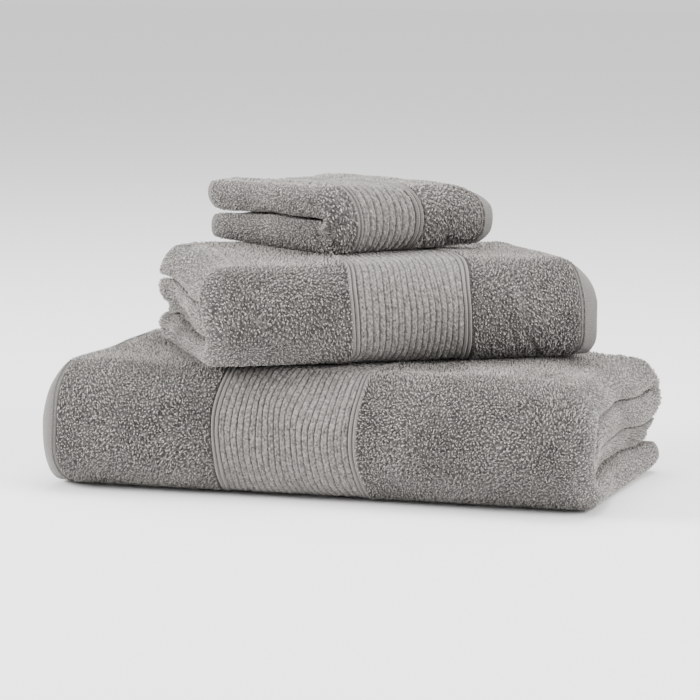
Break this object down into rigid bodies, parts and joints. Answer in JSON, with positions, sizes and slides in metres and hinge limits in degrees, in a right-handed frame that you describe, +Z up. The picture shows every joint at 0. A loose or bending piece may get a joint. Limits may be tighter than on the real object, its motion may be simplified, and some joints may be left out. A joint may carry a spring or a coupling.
{
  "type": "bath towel set",
  "caption": "Stack of folded terry towels, a bath, a hand and a guest towel, each with a ribbed dobby band across it and flat hems.",
  "frame": {"origin": "middle of the set's footprint box, on the surface that it stands on", "axes": "+X along the bath towel's length towards its crosswise folds, -Y towards its long front fold, +Z up"},
  "size_m": [0.36, 0.2822, 0.1872],
  "materials": {
    "terry_pile": "warm grey cotton loops, matt and fluffy",
    "dobby_band": "warm grey cotton in chunky vertical ribs",
    "band_cord": "smooth warm grey woven cord",
    "hem_weave": "flat warm grey plain weave, turned and stitched"
  },
  "bodies": {
    "bath_towel": {"bath_towel_end_hem": "hem_weave", "bath_towel_end_field": "terry_pile", "bath_towel_band_cords_hem_side": "band_cord", "bath_towel_dobby_band": "dobby_band", "bath_towel_band_cords_pile_side": "band_cord", "bath_towel_main_field": "terry_pile", "bath_towel_inner_layers": "terry_pile", "bath_towel_second_end_hem": "hem_weave", "bath_towel_first_selvage_hem": "hem_weave", "bath_towel_second_selvage_hem": "hem_weave", "bath_towel_inner_fold": "terry_pile"},
    "hand_towel": {"hand_towel_end_hem": "hem_weave", "hand_towel_end_field": "terry_pile", "hand_towel_band_cords_hem_side": "band_cord", "hand_towel_dobby_band": "dobby_band", "hand_towel_band_cords_pile_side": "band_cord", "hand_towel_main_field": "terry_pile", "hand_towel_inner_layers": "terry_pile", "hand_towel_second_end_hem": "hem_weave", "hand_towel_first_selvage_hem": "hem_weave", "hand_towel_second_selvage_hem": "hem_weave", "hand_towel_inner_fold": "terry_pile"},
    "guest_towel": {"guest_towel_end_hem": "hem_weave", "guest_towel_end_field": "terry_pile", "guest_towel_band_cords_hem_side": "band_cord", "guest_towel_dobby_band": "dobby_band", "guest_towel_band_cords_pile_side": "band_cord", "guest_towel_main_field": "terry_pile", "guest_towel_inner_layers": "terry_pile", "guest_towel_second_end_hem": "hem_weave", "guest_towel_first_selvage_hem": "hem_weave", "guest_towel_second_selvage_hem": "hem_weave"}
  },
  "joints": [
    {"name": "hand_towel_lift", "type": "slide", "parent": "bath_towel", "child": "hand_towel", "axis": [0, 0, 1], "range_m": [0, 0.16]},
    {"name": "guest_towel_lift", "type": "slide", "parent": "hand_towel", "child": "guest_towel", "axis": [0, 0, 1], "range_m": [0, 0.12]}
  ]
}
